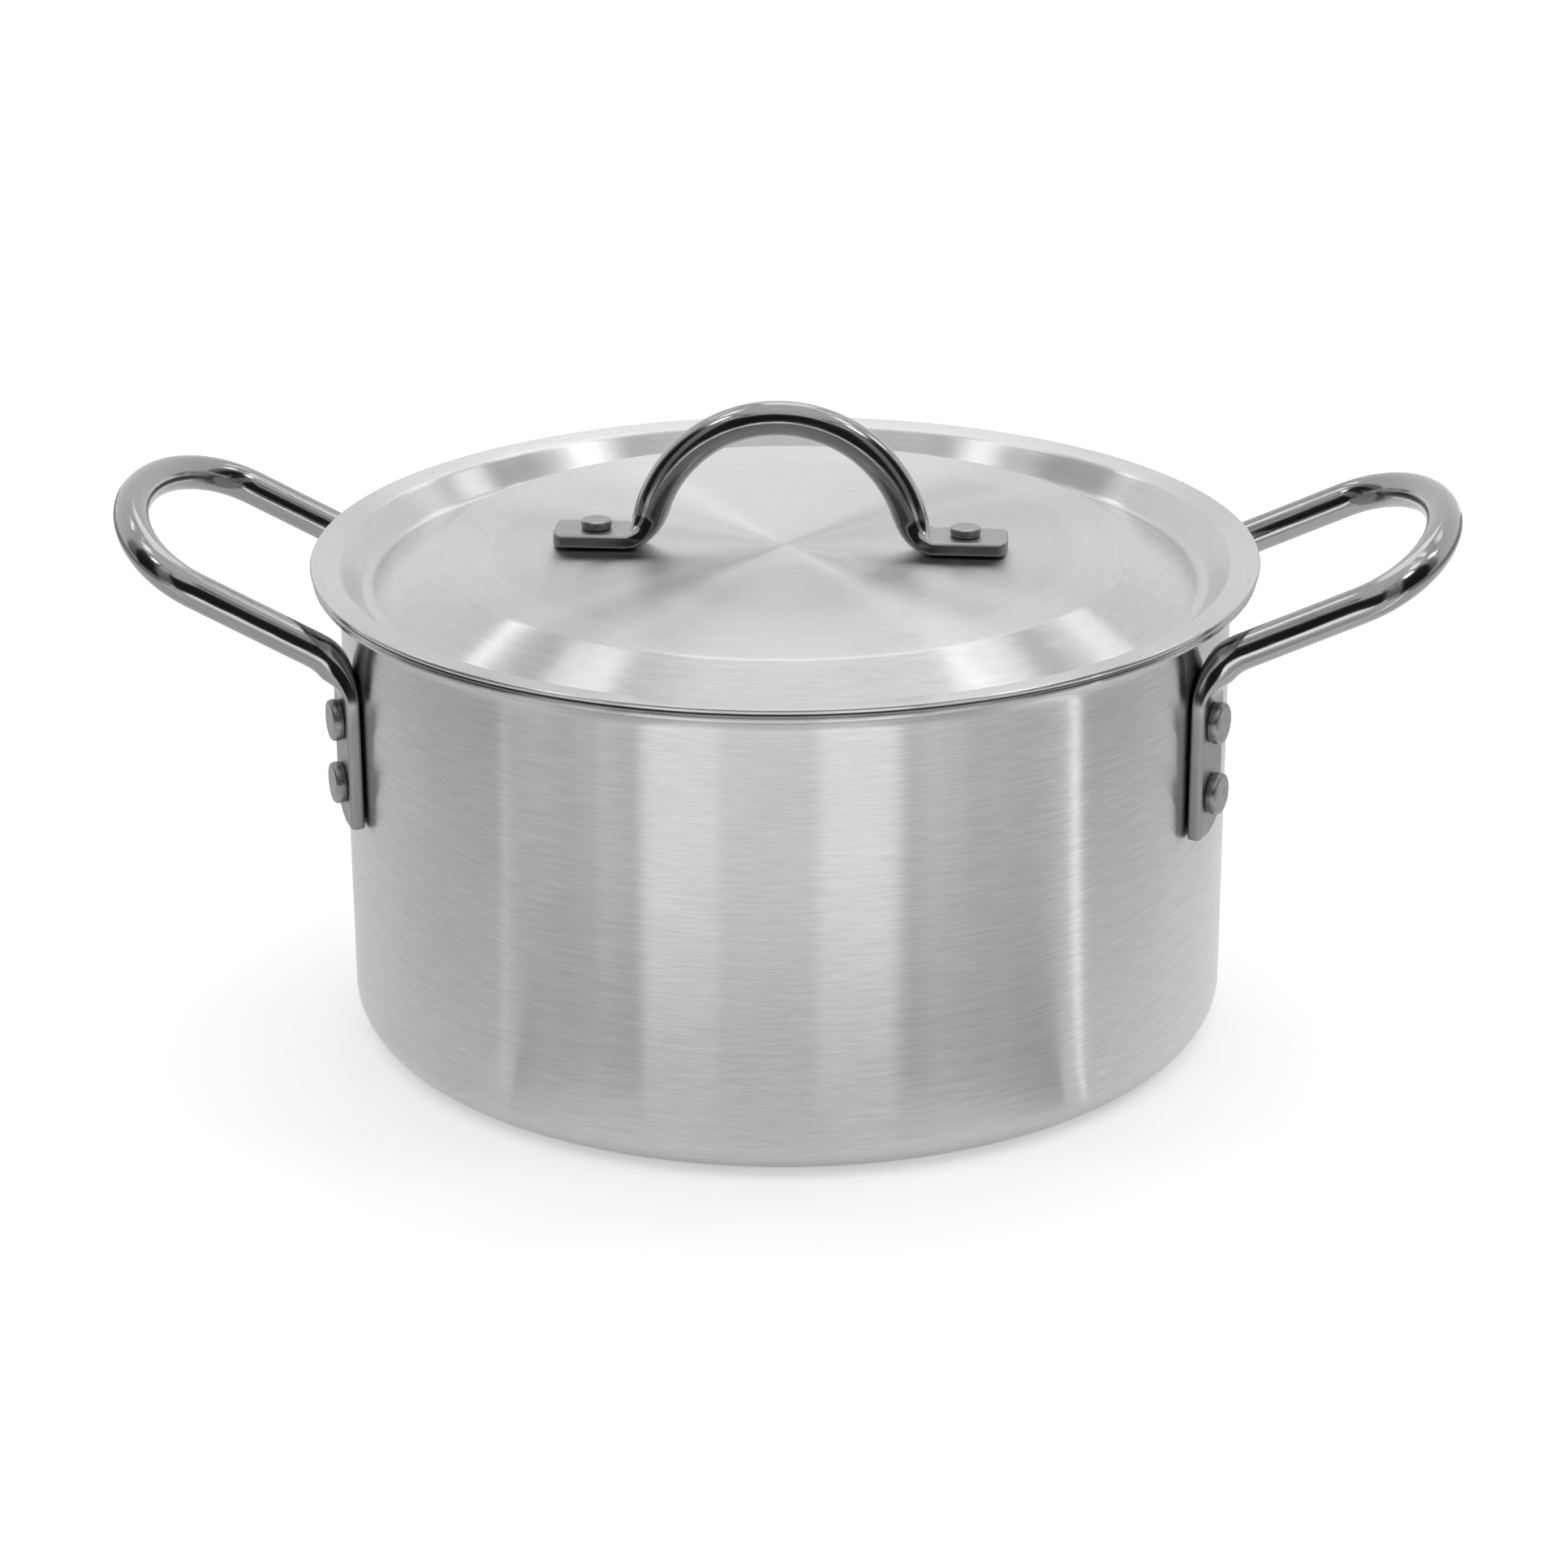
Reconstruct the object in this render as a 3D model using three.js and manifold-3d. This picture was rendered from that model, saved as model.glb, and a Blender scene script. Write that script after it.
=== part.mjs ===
// Low cooking pot with two tube handles and a drop-in lid, all in millimetres.
// +Z is up, the pot stands on z = 0, and the side handles point along +X and -X.
import * as THREE from 'three';
import { mergeVertices } from 'three/addons/utils/BufferGeometryUtils.js';
import Module from 'manifold-3d';

const wasm = await Module();
wasm.setup();

// ---------------------------------------------------------------- driving dimensions

// Pot: one spun sheet of even thickness, with a flared rim.
const POT_OUTER_RADIUS = 122.4;
const POT_HEIGHT = 130.7;
const POT_SHEET = 2.2;
const POT_INNER_CORNER = 7.8;
const RIM_OVERHANG = 7;
const RIM_ANGLE = 6;
const RIM_FLARE_RADIUS = 7;

// Lid: a raised flat panel, a cone down to a gutter, and a flange out over the rim.
const LID_SHEET = 1.3;
const LID_OVERHANG = 0.6;
const LID_PANEL_RISE = 0.9;
const LID_PANEL_FILLET = 7;
const LID_CONE_WIDTH = 19.8;
const LID_GUTTER_DEPTH = 9.1;
const LID_GUTTER_FILLET = 3.2;
const LID_FLANGE_ANGLE = 48.6;
const LID_SHOULDER_FILLET = 2.6;
const LID_TILT = 0.1;
const LID_TURN = -1;

// Side handles: one tube each, its legs parallel, its two ends pressed flat on the wall.
const SIDE_TUBE = 9.8;
const SIDE_HALF_SPACING = 46.4;
const SIDE_PROJECTION = 56.6;
const SIDE_END_DEPTH = 26.9;
const SIDE_BEND_RADIUS = 15;
const SIDE_PRESS_LENGTH = 12;
const SIDE_TWIST_LENGTH = 25;
const SIDE_CUT_WIDTH = 12;
const SIDE_CUT_HEIGHT = 7;

// They are bent and riveted on by hand, so each has its own turn round the pot, slope,
// drop from the pot's top to the corner where it leaves the wall, and rivet pitch.
const SIDES = [
  { side: 'right', turn: -0.65, slope: 23.8, cornerDrop: 13.5, pitch: 20 },
  { side: 'left', turn: 180.65, slope: 27.4, cornerDrop: 17.5, pitch: 18 },
];

// Lid handle: one tube, an arch with a flat foot at each end.
const LID_TUBE = 9.5;
const LID_ARCH_RADIUS = 36.8;
const LID_ARCH_SINK = 2.6;
const LID_FOOT_BEND = 6.8;
const LID_PRESS_LENGTH = 12;
const LID_CUT_WIDTH = 4;
const LID_CUT_HEIGHT = 2.5;
const LID_HANDLE_OFFSET = { x: -1.1, y: -1.5 };

// The pressed ends of both kinds of handle.
const STRAP_WIDTH = 15.5;
const STRAP_THICKNESS = 3.8;
const STRAP_EDGE = 1.1;

// Rivets: a shank with a flat-topped head at each end.
const SIDE_RIVET = { head: 11.4, height: 2.8, shank: 6, innerHeight: 1.6, bevel: 0.7 };
const LID_RIVET = { head: 8.4, height: 2.2, shank: 4.8, innerHeight: 1.4, bevel: 0.5 };
const SIDE_RIVET_MARGIN = 0.4;
const SIDE_RIVET_EDGE = 11.5;
const LID_RIVET_MARGIN = 4;
const LID_RIVET_EDGE = 11.6;

// Clearances between separate pieces.
const SEAT_GAP = 0.3;
const FLANGE_CLEARANCE = 0.9;
const HOLE_CLEARANCE = 0.3;

// Facets, and the stations that a tube's outline is set at along its route.
const ROUND_FACETS = 64;
const RIVET_FACETS = 12;
const TUBE_FACETS = 12;
const ARC_STEP = 22.5;
const CROWN_STEP = 12;
const END_CURVE_STEPS = 18;
const LEG_STATION = 12;
const FOOT_STATION = 9;
const CORNER_STATIONS = [0, 0.18, 0.42, 0.7];
const DRILL_LENGTH = 20;

const rad = THREE.MathUtils.degToRad;
const up = new THREE.Vector3(0, 0, 1);

// ---------------------------------------------------------------- derived places

const potInnerRadius = POT_OUTER_RADIUS - POT_SHEET;
const potLipRadius = POT_OUTER_RADIUS + RIM_OVERHANG;
const lidRadius = potLipRadius + LID_OVERHANG;
const lidLift = lidRadius * Math.sin(rad(LID_TILT));
const lidEdgeHeight = POT_HEIGHT + SEAT_GAP + lidLift
  + LID_SHEET / Math.cos(rad(RIM_ANGLE)) + LID_OVERHANG * Math.tan(rad(RIM_ANGLE));
const strapRadius = POT_OUTER_RADIUS + SEAT_GAP + STRAP_THICKNESS / 2;
const strapAngle = Math.asin(SIDE_HALF_SPACING / strapRadius);

// Heights on the wall: a side handle's corner, the start of its bend, its rivets, its ends.
function sideLevels({ slope, cornerDrop, pitch }) {
  const corner = POT_HEIGHT - cornerDrop;
  const bend = corner - SIDE_BEND_RADIUS * Math.tan(rad((90 - slope) / 2));
  const upper = bend - SIDE_RIVET_MARGIN - SIDE_RIVET.head / 2;
  const lower = upper - pitch;
  return { corner, bend, upper, lower, end: lower - SIDE_RIVET_EDGE };
}

const lidFootHeight = LID_PANEL_RISE + SEAT_GAP + STRAP_THICKNESS / 2;
const lidBendRise = LID_ARCH_SINK + LID_FOOT_BEND;
const lidBendX = Math.sqrt((LID_ARCH_RADIUS + LID_FOOT_BEND) ** 2 - lidBendRise ** 2);
const lidRivetX = lidBendX + LID_RIVET_MARGIN + LID_RIVET.head / 2;
const lidFootReach = lidRivetX + LID_RIVET_EDGE;

// ---------------------------------------------------------------- materials

function metal(color, roughness) {
  return new THREE.MeshStandardMaterial({ color, roughness, metalness: 1 });
}

const wallMetal = metal(0xb9b9ba, 0.34);
const lidMetal = metal(0xc8c8c8, 0.32);
const tubeMetal = metal(0x8d8b88, 0.16);
const rivetMetal = metal(0x7c7c7d, 0.48);

// ---------------------------------------------------------------- solids and booleans

function toSolid(geometry) {
  const bare = geometry.clone();
  bare.deleteAttribute('normal');
  bare.deleteAttribute('uv');
  const merged = mergeVertices(bare, 1e-4);
  return new wasm.Manifold(new wasm.Mesh({
    numProp: 3,
    vertProperties: new Float32Array(merged.attributes.position.array),
    triVerts: new Uint32Array(merged.index.array),
  }));
}

function toGeometry(solid) {
  const mesh = solid.getMesh();
  const geometry = new THREE.BufferGeometry();
  geometry.setAttribute('position', new THREE.BufferAttribute(mesh.vertProperties, 3));
  geometry.setIndex(new THREE.BufferAttribute(mesh.triVerts, 1));
  geometry.computeVertexNormals();
  return geometry;
}

function cut(geometry, tools) {
  const whole = toSolid(geometry);
  return toGeometry(tools.reduce((body, tool) => body.subtract(toSolid(tool)), whole));
}

// ---------------------------------------------------------------- turned pieces

// Points of a round arc, its angles in radians.
function arc(x, y, radius, from, to, step = ARC_STEP) {
  const steps = Math.max(2, Math.ceil(Math.abs(to - from) / rad(step)));
  return Array.from({ length: steps + 1 }, (_, i) => {
    const angle = from + ((to - from) * i) / steps;
    return new THREE.Vector2(x + radius * Math.cos(angle), y + radius * Math.sin(angle));
  });
}

// A polyline through corners [x, y, fillet], with an arc in place of each filleted corner.
function roundedPath(corners) {
  return corners.flatMap(([x, y, fillet], i) => {
    const corner = new THREE.Vector2(x, y);
    if (!fillet) return [corner];
    const before = new THREE.Vector2(...corners[i - 1]).sub(corner).normalize();
    const after = new THREE.Vector2(...corners[i + 1]).sub(corner).normalize();
    const half = Math.acos(before.dot(after)) / 2;
    const inward = before.clone().add(after).setLength(fillet / Math.sin(half));
    const centre = corner.clone().add(inward);
    const start = corner.clone().addScaledVector(before, fillet / Math.tan(half)).sub(centre);
    const sweep = -Math.sign(before.cross(after)) * (Math.PI - 2 * half);
    return arc(centre.x, centre.y, fillet, start.angle(), start.angle() + sweep);
  });
}

// The same path moved sideways, to the right of its direction of travel.
function offsetPath(path, distance) {
  const last = path.length - 1;
  return path.map((point, i) => {
    const start = Math.min(i, last - 1);
    const end = Math.max(i, 1);
    const into = path[end].clone().sub(path[end - 1]).normalize();
    const out = path[start + 1].clone().sub(path[start]).normalize();
    const right = new THREE.Vector2(into.y + out.y, -into.x - out.x).normalize();
    const stretch = right.x * into.y - right.y * into.x;
    return point.clone().addScaledVector(right, distance / stretch);
  });
}

// A closed profile, from the axis back to the axis, turned round the Z axis.
function turned(profile, facets) {
  return new THREE.LatheGeometry(profile, facets).rotateX(Math.PI / 2);
}

// A sheet of even thickness turned round the Z axis, given the corners of its upper face
// from the axis out to its edge. The edge is eased by a third of the thickness.
function turnedSheet(corners, thickness) {
  const upper = roundedPath(corners);
  const tip = upper.pop();
  const travel = tip.clone().sub(upper[upper.length - 1]).normalize();
  const ease = thickness / 3;
  upper.push(tip.clone().addScaledVector(travel, -ease));
  const lower = offsetPath(upper, thickness);
  const across = lower[lower.length - 1].clone().sub(upper[upper.length - 1]).normalize();
  const edge = [thickness - ease, ease].map((depth) => tip.clone().addScaledVector(across, depth));
  return turned([...lower, ...edge, ...upper.reverse()], ROUND_FACETS);
}

// ---------------------------------------------------------------- pressed tubes

// The outline of a tube that is pressed from round (0) to flat (1), as [wide, thin] pairs.
// Its wide side can be trimmed at each edge, as the corners of the strap's end are.
function tubeOutline(diameter, press, trim) {
  const low = -STRAP_WIDTH / 2 + trim.low;
  const high = STRAP_WIDTH / 2 - trim.high;
  const wide = (high - low) / 2 - STRAP_EDGE;
  const thin = STRAP_THICKNESS / 2 - STRAP_EDGE;
  const perCorner = TUBE_FACETS / 4;
  return Array.from({ length: TUBE_FACETS }, (_, i) => {
    const angle = ((i + 0.5) * 2 * Math.PI) / TUBE_FACETS;
    const corner = Math.PI / 4 + (Math.floor(i / perCorner) * Math.PI) / 2;
    const round = corner + ((i % perCorner) / (perCorner - 1) - 0.5) * (Math.PI / 2);
    const flatX = (low + high) / 2 + Math.sign(Math.cos(corner)) * wide + STRAP_EDGE * Math.cos(round);
    const flatY = Math.sign(Math.sin(corner)) * thin + STRAP_EDGE * Math.sin(round);
    const lerp = THREE.MathUtils.lerp;
    return [
      lerp((diameter / 2) * Math.cos(angle), flatX, press),
      lerp((diameter / 2) * Math.sin(angle), flatY, press),
    ];
  });
}

// How far the tube is pressed, at a distance from its end.
function pressAt(distance, flat, length) {
  return 1 - THREE.MathUtils.smoothstep(distance, flat, flat + length);
}

// How much of the strap's width is missing, at a distance from its end, where a corner is
// rounded off as a quarter of an ellipse.
function cornerTrim(distance, width, height) {
  const share = Math.max(0, 1 - distance / height);
  return width * (1 - Math.sqrt(1 - share * share));
}

// A closed skin over rings of points, each ring a list of as many Vector3.
function skin(rings) {
  const count = rings[0].length;
  const points = rings.flat();
  const index = [];
  for (let r = 0; r + 1 < rings.length; r += 1) {
    for (let k = 0; k < count; k += 1) {
      const a = r * count + k;
      const b = r * count + ((k + 1) % count);
      index.push(a, a + count, b, b, a + count, b + count);
    }
  }
  const top = points.length - count;
  for (let k = 1; k + 1 < count; k += 1) {
    index.push(0, k, k + 1, top, top + k + 1, top + k);
  }
  const geometry = new THREE.BufferGeometry().setFromPoints(points);
  geometry.setIndex(index);
  geometry.computeVertexNormals();
  return geometry;
}

// A tube along a route of stations { point, side, press, trim }: side is the direction of
// its width, before it is squared up to the route.
function pressedTube(stations, diameter) {
  const last = stations.length - 1;
  return skin(stations.map(({ point, side, press, trim }, i) => {
    const from = stations[Math.max(i - 1, 0)].point;
    const to = stations[Math.min(i + 1, last)].point;
    const along = to.clone().sub(from).normalize();
    const wide = side.clone().addScaledVector(along, -side.dot(along)).normalize();
    const thin = wide.clone().cross(along);
    return tubeOutline(diameter, press, trim).map(([w, t]) => (
      point.clone().addScaledVector(wide, w).addScaledVector(thin, t)
    ));
  }));
}

// Points added along the straight stretches of a path, so that none is longer than step.
function divided(path, step) {
  return path.flatMap((point, i) => {
    if (i === 0) return [point];
    const count = Math.ceil(point.distanceTo(path[i - 1]) / step);
    return Array.from({ length: count }, (_, k) => path[i - 1].clone().lerp(point, (k + 1) / count));
  });
}

// Distance travelled at each point of a path.
function travelled(path) {
  let sum = 0;
  return path.map((point, i) => {
    sum += i ? point.distanceTo(path[i - 1]) : 0;
    return sum;
  });
}

// ---------------------------------------------------------------- rivets

// A rivet along +Z, its inner head's seat at z = 0 and its outer head's seat at z = grip.
function rivet({ head, height, shank, innerHeight, bevel }, grip) {
  const profile = [
    [0, -innerHeight],
    [head / 2 - bevel, -innerHeight],
    [head / 2, -innerHeight + bevel],
    [head / 2, 0],
    [shank / 2, 0],
    [shank / 2, grip],
    [head / 2, grip],
    [head / 2, grip + height - bevel],
    [head / 2 - bevel, grip + height],
    [0, grip + height],
  ];
  return turned(profile.map(([x, y]) => new THREE.Vector2(x, y)), RIVET_FACETS);
}

// A drill for a rivet's hole, along Z and centred on the origin.
function drill({ shank }) {
  const radius = shank / 2 + HOLE_CLEARANCE;
  const bit = new THREE.CylinderGeometry(radius, radius, DRILL_LENGTH, RIVET_FACETS);
  return bit.rotateX(Math.PI / 2);
}

// ---------------------------------------------------------------- side handles

// A handle is made on the +X side and turned into place round the pot. Its legs are at
// -Y and +Y, with two rivets in each.
function rivetSpots(handle) {
  const levels = sideLevels(handle);
  return [-1, 1].flatMap((leg) => (
    ['upper', 'lower'].map((level) => ({ leg, level, height: levels[level] }))
  ));
}

// Moves a piece made along Z onto the line of a rivet, at a distance from the pot's axis.
function onRivetLine(object, { leg, height }, distance) {
  const turn = leg * strapAngle;
  const across = new THREE.Vector3(Math.cos(turn), Math.sin(turn), 0);
  const facing = new THREE.Quaternion().setFromUnitVectors(up, across);
  const place = across.multiplyScalar(distance).setZ(height);
  return object.applyMatrix4(new THREE.Matrix4().makeRotationFromQuaternion(facing).setPosition(place));
}

// The half of a handle from the strap's end, up the wall and out to the end curve, as [x, z].
function legPath(handle) {
  const { corner, end } = sideLevels(handle);
  const slope = rad(handle.slope);
  const foot = Math.cos(strapAngle) * strapRadius;
  const curve = POT_OUTER_RADIUS + SIDE_PROJECTION - SIDE_END_DEPTH * Math.cos(slope);
  return roundedPath([
    [foot, end],
    [foot, corner, SIDE_BEND_RADIUS],
    [curve, corner + (curve - foot) * Math.tan(slope)],
  ]);
}

// The end curve is half an ellipse, in the sloping plane of the two legs.
function endCurve(start, slope) {
  return Array.from({ length: END_CURVE_STEPS - 1 }, (_, i) => {
    const angle = ((i + 1) / END_CURVE_STEPS - 0.5) * Math.PI;
    const out = SIDE_END_DEPTH * Math.cos(angle);
    const x = start.x + out * Math.cos(slope);
    return new THREE.Vector3(x, SIDE_HALF_SPACING * Math.sin(angle), start.y + out * Math.sin(slope));
  });
}

// The whole route: up one strap, out along its leg, round the end and back.
function sideRoute(handle) {
  const leg = legPath(handle);
  const half = (y) => {
    const [foot, ...rest] = divided(leg.map((spot) => new THREE.Vector3(spot.x, y, spot.y)), LEG_STATION);
    const corner = CORNER_STATIONS.map((share) => (
      foot.clone().setZ(foot.z + share * SIDE_CUT_HEIGHT)
    ));
    return [...corner, ...rest];
  };
  const round = endCurve(leg[leg.length - 1], rad(handle.slope));
  return [...half(-SIDE_HALF_SPACING), ...round, ...half(SIDE_HALF_SPACING).reverse()];
}

function sideHandle(handle) {
  const route = sideRoute(handle);
  const far = travelled(route);
  const { bend, end } = sideLevels(handle);
  const flat = bend - end;
  const slope = rad(handle.slope);
  const normal = new THREE.Vector3(-Math.sin(slope), 0, Math.cos(slope));
  const stations = route.map((point, i) => {
    const fromEnd = Math.min(far[i], far[far.length - 1] - far[i]);
    const twist = pressAt(fromEnd, flat + SIDE_PRESS_LENGTH, SIDE_TWIST_LENGTH);
    const before = route[Math.max(i - 1, 0)];
    const after = route[Math.min(i + 1, route.length - 1)];
    const level = normal.clone().cross(after.clone().sub(before)).normalize();
    const leg = Math.sign(point.y);
    const alongWall = new THREE.Vector3(Math.sin(leg * strapAngle), -Math.cos(leg * strapAngle), 0);
    return {
      point,
      side: level.lerp(alongWall.multiplyScalar(leg), twist),
      press: pressAt(fromEnd, flat, SIDE_PRESS_LENGTH),
      trim: { low: 0, high: cornerTrim(fromEnd, SIDE_CUT_WIDTH, SIDE_CUT_HEIGHT) },
    };
  });
  const holes = rivetSpots(handle).map((spot) => onRivetLine(drill(SIDE_RIVET), spot, strapRadius));
  return cut(pressedTube(stations, SIDE_TUBE), holes);
}

function sideRivet(spot) {
  const flat = Math.sqrt(potInnerRadius ** 2 - (SIDE_RIVET.head / 2) ** 2);
  const inner = flat * Math.cos(Math.PI / ROUND_FACETS) - SEAT_GAP;
  const outer = strapRadius + STRAP_THICKNESS / 2 + SEAT_GAP;
  return onRivetLine(rivet(SIDE_RIVET, outer - inner), spot, inner);
}

// ---------------------------------------------------------------- pot

function potBody() {
  const wallTop = POT_HEIGHT - (potLipRadius - potInnerRadius) * Math.tan(rad(RIM_ANGLE));
  const sheet = turnedSheet([
    [0, POT_SHEET],
    [potInnerRadius, POT_SHEET, POT_INNER_CORNER],
    [potInnerRadius, wallTop, RIM_FLARE_RADIUS],
    [potLipRadius, POT_HEIGHT],
  ], POT_SHEET);
  const holes = SIDES.flatMap((handle) => rivetSpots(handle).map((spot) => (
    onRivetLine(drill(SIDE_RIVET), spot, potInnerRadius).rotateZ(rad(handle.turn))
  )));
  return cut(sheet, holes);
}

// ---------------------------------------------------------------- lid

// Corners of the lid's upper face, with z = 0 at its outer edge. The flange keeps
// FLANGE_CLEARANCE to the flare of the pot's rim, whose centre is worked out first.
function lidCorners() {
  const lip = rad(RIM_ANGLE);
  const flange = rad(LID_FLANGE_ANGLE);
  const wallTop = POT_HEIGHT - (potLipRadius - potInnerRadius) * Math.tan(lip);
  const flareX = potInnerRadius + RIM_FLARE_RADIUS;
  const flareZ = wallTop - RIM_FLARE_RADIUS * Math.tan((Math.PI / 2 - lip) / 2) - lidEdgeHeight;
  const reach = RIM_FLARE_RADIUS + FLANGE_CLEARANCE + LID_SHEET;
  const flangeX = (z) => flareX + ((z - flareZ) * Math.cos(flange) - reach) / Math.sin(flange);
  const rate = Math.tan(lip) / Math.tan(flange);
  const shoulderX = (flangeX(0) - lidRadius * rate) / (1 - rate);
  const shoulderZ = (shoulderX - lidRadius) * Math.tan(lip);
  const gutterX = flangeX(-LID_GUTTER_DEPTH);
  return [
    [0, LID_PANEL_RISE],
    [gutterX - LID_CONE_WIDTH, LID_PANEL_RISE, LID_PANEL_FILLET],
    [gutterX, -LID_GUTTER_DEPTH, LID_GUTTER_FILLET],
    [shoulderX, shoulderZ, LID_SHOULDER_FILLET],
    [lidRadius, 0],
  ];
}

const lidRivetSpots = [{ place: 'left', x: -lidRivetX }, { place: 'right', x: lidRivetX }];

function lidHoles() {
  return lidRivetSpots.map(({ x }) => drill(LID_RIVET).translate(x, 0, 0));
}

function lidCover() {
  const { x, y } = LID_HANDLE_OFFSET;
  const holes = lidHoles().map((hole) => hole.translate(x, y, 0));
  return cut(turnedSheet(lidCorners(), LID_SHEET), holes);
}

// The lid handle's route in the XZ plane: foot, bend, arch, bend, foot.
function archPath() {
  const foot = lidFootHeight;
  const lean = Math.atan2(lidBendRise, lidBendX);
  const bend = arc(lidBendX, foot + LID_FOOT_BEND, LID_FOOT_BEND, Math.PI + lean, 1.5 * Math.PI);
  const crown = arc(0, foot - LID_ARCH_SINK, LID_ARCH_RADIUS, Math.PI / 2, lean, CROWN_STEP);
  const end = CORNER_STATIONS.map((share) => (
    new THREE.Vector2(lidFootReach - share * LID_CUT_HEIGHT, foot)
  ));
  const half = [...crown, ...bend.slice(1), ...end.reverse()];
  const mirrored = half.slice(1).map(({ x, y }) => new THREE.Vector2(-x, y)).reverse();
  return divided([...mirrored, ...half].map(({ x, y }) => new THREE.Vector3(x, 0, y)), FOOT_STATION);
}

function lidHandle() {
  const route = archPath();
  const far = travelled(route);
  const stations = route.map((point, i) => {
    const end = Math.min(far[i], far[far.length - 1] - far[i]);
    const trim = cornerTrim(end, LID_CUT_WIDTH, LID_CUT_HEIGHT);
    return {
      point,
      side: new THREE.Vector3(0, 1, 0),
      press: pressAt(end, lidFootReach - lidBendX, LID_PRESS_LENGTH),
      trim: { low: trim, high: trim },
    };
  });
  return cut(pressedTube(stations, LID_TUBE), lidHoles());
}

function lidRivet({ x }) {
  const under = LID_PANEL_RISE - LID_SHEET - SEAT_GAP;
  const grip = LID_SHEET + STRAP_THICKNESS + 3 * SEAT_GAP;
  return rivet(LID_RIVET, grip).translate(x, 0, under);
}

// ---------------------------------------------------------------- assembly

function addPiece(group, name, geometry, material) {
  const piece = new THREE.Mesh(geometry, material);
  piece.name = name;
  group.add(piece);
}

const pot = new THREE.Group();
addPiece(pot, 'pot_body', potBody(), wallMetal);

for (const handle of SIDES) {
  const { side } = handle;
  const turn = rad(handle.turn);
  const mounted = new THREE.Group();
  mounted.rotation.z = turn;
  addPiece(mounted, `${side}_handle`, sideHandle(handle), tubeMetal);
  for (const spot of rivetSpots(handle)) {
    const row = spot.leg * Math.cos(turn) < 0 ? 'front' : 'rear';
    addPiece(mounted, `${side}_${row}_${spot.level}_rivet`, sideRivet(spot), rivetMetal);
  }
  pot.add(mounted);
}

const grip = new THREE.Group();
grip.position.set(LID_HANDLE_OFFSET.x, LID_HANDLE_OFFSET.y, 0);
addPiece(grip, 'lid_handle', lidHandle(), tubeMetal);
for (const spot of lidRivetSpots) {
  addPiece(grip, `lid_${spot.place}_rivet`, lidRivet(spot), rivetMetal);
}

const lid = new THREE.Group();
lid.position.z = lidEdgeHeight;
lid.rotation.set(0, rad(LID_TILT), rad(LID_TURN), 'ZYX');
addPiece(lid, 'lid_cover', lidCover(), lidMetal);
lid.add(grip);

const model = new THREE.Group();
model.add(pot, lid);

export default model;
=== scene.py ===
# %% [markdown]
# # A low cooking pot in brushed aluminium
# The pot is a spun sheet with a flared rim, a pressed lid lies in the rim, and three
# handles of steel tube are riveted on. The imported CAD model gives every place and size,
# and this notebook builds the finished surfaces round it, piece by piece, in metres.

# %% Load the fixed frame
import math

import bmesh
import bpy
import numpy as np
from mathutils import Matrix, Vector, noise


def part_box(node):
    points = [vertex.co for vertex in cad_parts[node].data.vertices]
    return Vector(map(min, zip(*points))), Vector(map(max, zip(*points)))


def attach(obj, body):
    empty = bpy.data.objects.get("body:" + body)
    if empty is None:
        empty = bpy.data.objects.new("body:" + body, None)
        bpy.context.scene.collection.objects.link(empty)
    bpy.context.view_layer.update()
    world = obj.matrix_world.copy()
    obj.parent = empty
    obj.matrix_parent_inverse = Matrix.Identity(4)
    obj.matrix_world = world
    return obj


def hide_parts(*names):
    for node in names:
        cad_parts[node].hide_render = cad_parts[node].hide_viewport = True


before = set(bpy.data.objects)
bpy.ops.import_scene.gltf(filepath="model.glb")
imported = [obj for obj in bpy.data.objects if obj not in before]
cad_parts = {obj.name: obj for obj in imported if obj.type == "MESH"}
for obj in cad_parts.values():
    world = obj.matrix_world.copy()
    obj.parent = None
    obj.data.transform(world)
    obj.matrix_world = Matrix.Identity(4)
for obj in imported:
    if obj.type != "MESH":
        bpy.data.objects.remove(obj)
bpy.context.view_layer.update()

# %% [markdown]
# ## Camera
# A long lens looks down at the pot from the front, a little from the right. It could be
# aimed with a Track To constraint, but a matrix built from the line of sight also takes
# the slight roll that a hand-held camera has, so that is used.

# %% Camera
CAMERA_PLACE = Vector((0.0711, -1.0851, 0.4837))
CAMERA_AIM = Vector((-0.00065, -0.00004, 0.0628))
CAMERA_ROLL = math.radians(-0.34)
CAMERA_LENS = 95.2
CAMERA_SENSOR = 36


def add_camera():
    forward = (CAMERA_AIM - CAMERA_PLACE).normalized()
    level = forward.cross(Vector((0, 0, 1))).normalized()
    right = Matrix.Rotation(CAMERA_ROLL, 3, -forward) @ level
    up = right.cross(forward)
    data = bpy.data.cameras.new("camera")
    data.lens = CAMERA_LENS
    data.sensor_width = CAMERA_SENSOR
    camera = bpy.data.objects.new("camera", data)
    camera.matrix_world = Matrix.Translation(CAMERA_PLACE) @ Matrix(
        (right, up, -forward)
    ).transposed().to_4x4()
    bpy.context.scene.collection.objects.link(camera)
    bpy.context.scene.camera = camera
    print("camera at", tuple(round(v, 3) for v in CAMERA_PLACE), "lens", CAMERA_LENS)


add_camera()

# %% [markdown]
# ## Shader nodes by name
# Every finish below is a small node tree. A helper that makes a node and fills its inputs
# keeps those trees short: a value sets the socket, and a socket is linked to it. The others
# are the few steps that most of the trees share.

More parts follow.
